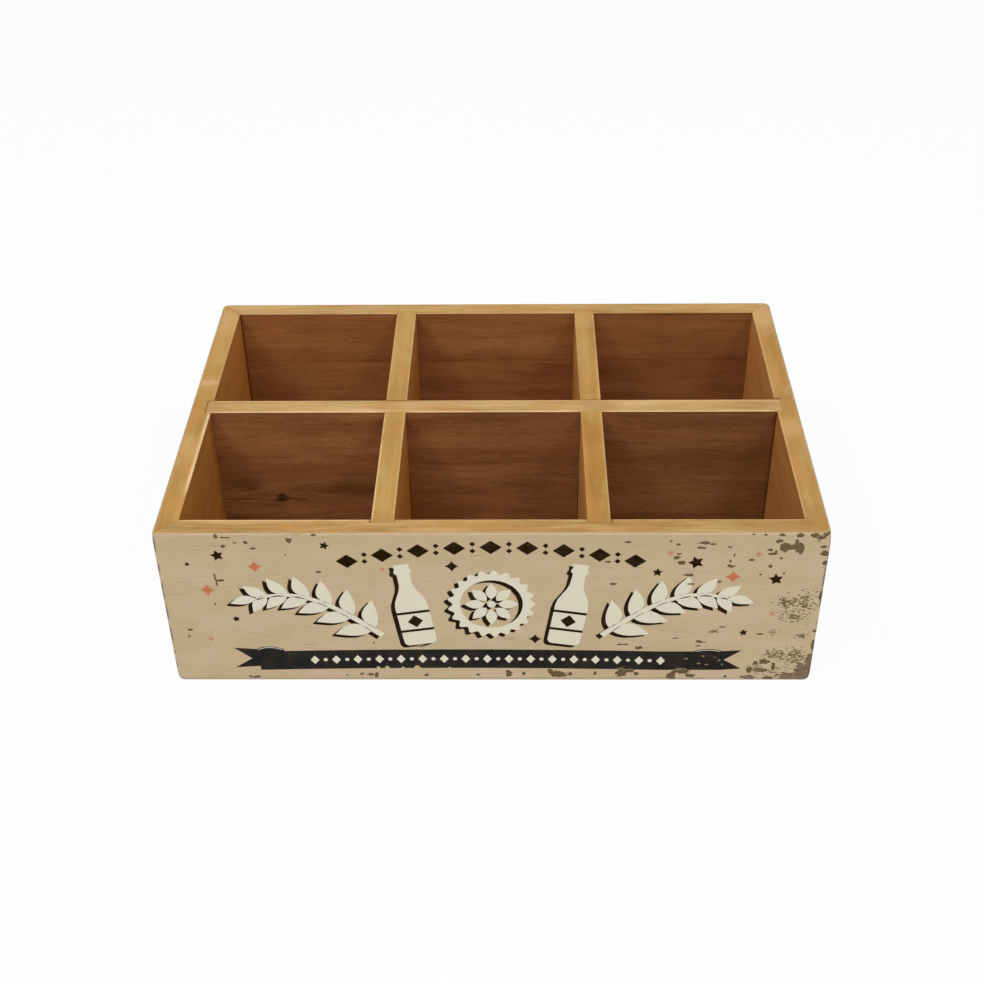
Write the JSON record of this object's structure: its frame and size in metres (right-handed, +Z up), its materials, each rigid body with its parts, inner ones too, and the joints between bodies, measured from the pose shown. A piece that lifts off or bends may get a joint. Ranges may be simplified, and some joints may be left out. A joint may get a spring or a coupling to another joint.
{
  "type": "bottle crate",
  "caption": "Low open-top wooden bottle crate with mitred walls and a crossed divider grid whose square cells hold bottles upright.",
  "frame": {"origin": "centre of the underside, on the surface that the crate stands on", "axes": "+X along the length to the right as seen from the front, +Y from the front wall to the back wall, +Z up"},
  "size_m": [0.2594, 0.176, 0.077],
  "materials": {
    "painted_board": "distressed cream paint outside, stained inside, bare at the rim",
    "honey_wood": "satin",
    "stained_plywood": "stained",
    "bright_steel": "bright"
  },
  "bodies": {
    "root": {"front_wall": "painted_board", "back_wall": "painted_board", "left_wall": "painted_board", "right_wall": "painted_board", "long_divider": "honey_wood", "left_cross_divider": "honey_wood", "right_cross_divider": "honey_wood", "base_panel": "stained_plywood", "left_wall_brad_1": "bright_steel", "left_wall_brad_2": "bright_steel", "left_wall_brad_3": "bright_steel", "left_wall_brad_4": "bright_steel", "left_wall_brad_5": "bright_steel", "left_wall_brad_6": "bright_steel", "right_wall_brad_1": "bright_steel", "right_wall_brad_2": "bright_steel", "right_wall_brad_3": "bright_steel", "right_wall_brad_4": "bright_steel", "right_wall_brad_5": "bright_steel", "right_wall_brad_6": "bright_steel", "back_wall_brad_1": "bright_steel", "back_wall_brad_2": "bright_steel", "back_wall_brad_3": "bright_steel", "back_wall_brad_4": "bright_steel", "base_pin_1": "bright_steel", "base_pin_2": "bright_steel", "base_pin_3": "bright_steel", "base_pin_4": "bright_steel", "base_pin_5": "bright_steel", "base_pin_6": "bright_steel", "base_pin_7": "bright_steel", "base_pin_8": "bright_steel", "base_pin_9": "bright_steel", "base_pin_10": "bright_steel", "base_pin_11": "bright_steel", "base_pin_12": "bright_steel", "base_pin_13": "bright_steel"}
  },
  "joints": []
}
